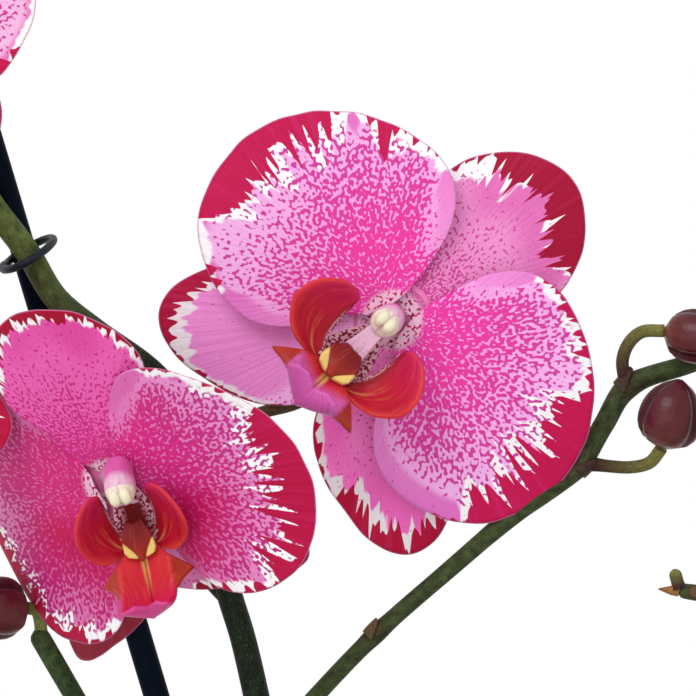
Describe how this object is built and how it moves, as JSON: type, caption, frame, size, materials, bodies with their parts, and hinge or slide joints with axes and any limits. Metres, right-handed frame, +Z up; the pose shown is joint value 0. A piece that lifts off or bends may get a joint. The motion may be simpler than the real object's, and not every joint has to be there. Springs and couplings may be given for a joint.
{
  "type": "potted moth orchid",
  "caption": "Potted moth orchid with branched flower spikes of spotted pink and crimson blooms, closed buds, stakes with ring clips, strap leaves and a glazed pot around an inner pot of bark.",
  "frame": {"origin": "centre of the glazed pot's flat underside", "axes": "+Z up along the plant's height, the best open bloom faces -Y, +X to the viewer's right"},
  "size_m": [0.409, 0.3238, 0.5988],
  "materials": {
    "petal": "soft velvety living tissue, magenta spots on lilac with white and crimson margins",
    "sepal": "soft velvety living tissue, pink with dark crimson margins",
    "lip": "waxy red and orange living tissue",
    "column": "waxy pale pink living tissue with a cream cap",
    "stem": "green living stem with fine dark speckles",
    "bud": "waxy dark maroon closed bud",
    "leaf": "thick smooth green living leaf, semi-gloss",
    "root": "silvery green aerial root, matte",
    "stake": "dark navy coated stake, satin",
    "clip": "dark grey ring clip",
    "bark": "rough bark chips, matte",
    "grow_pot": "thin milky inner pot, smooth",
    "ceramic_pot": "plain off-white glaze"
  },
  "bodies": {
    "root": {"flower_a_dorsal_sepal": "sepal", "flower_a_petal_left": "petal", "flower_a_petal_right": "petal", "flower_a_lateral_sepal_left": "sepal", "flower_a_lateral_sepal_right": "sepal", "flower_a_lip": "lip", "flower_a_column": "column", "flower_b_dorsal_sepal": "sepal", "flower_b_petal_left": "petal", "flower_b_petal_right": "petal", "flower_b_lateral_sepal_left": "sepal", "flower_b_lateral_sepal_right": "sepal", "flower_b_lip": "lip", "flower_b_column": "column", "flower_c_dorsal_sepal": "sepal", "flower_c_petal_left": "petal", "flower_c_petal_right": "petal", "flower_c_lateral_sepal_left": "sepal", "flower_c_lateral_sepal_right": "sepal", "flower_c_lip": "lip", "flower_c_column": "column", "flower_d_dorsal_sepal": "sepal", "flower_d_petal_left": "petal", "flower_d_petal_right": "petal", "flower_d_lateral_sepal_left": "sepal", "flower_d_lateral_sepal_right": "sepal", "flower_d_lip": "lip", "flower_d_column": "column", "flower_e_dorsal_sepal": "sepal", "flower_e_petal_left": "petal", "flower_e_petal_right": "petal", "flower_e_lateral_sepal_left": "sepal", "flower_e_lateral_sepal_right": "sepal", "flower_e_lip": "lip", "flower_e_column": "column", "spike_left": "stem", "spike_right": "stem", "branch_right": "stem", "branch_left": "stem", "branch_tip": "stem", "bud_right_low": "bud", "bud_right_high": "bud", "bud_right_end": "bud", "bud_left_low": "bud", "bud_spike_left_side": "bud", "bud_spike_left_end": "bud", "bud_spike_right_end": "bud", "stake_left": "stake", "stake_right": "stake", "clip_left": "clip", "clip_right": "clip", "crown_and_roots": "root", "leaf_1": "leaf", "leaf_2": "leaf", "leaf_3": "leaf", "leaf_4": "leaf", "leaf_5": "leaf", "bark_mix": "bark", "grow_pot": "grow_pot", "ceramic_pot": "ceramic_pot"}
  },
  "joints": []
}
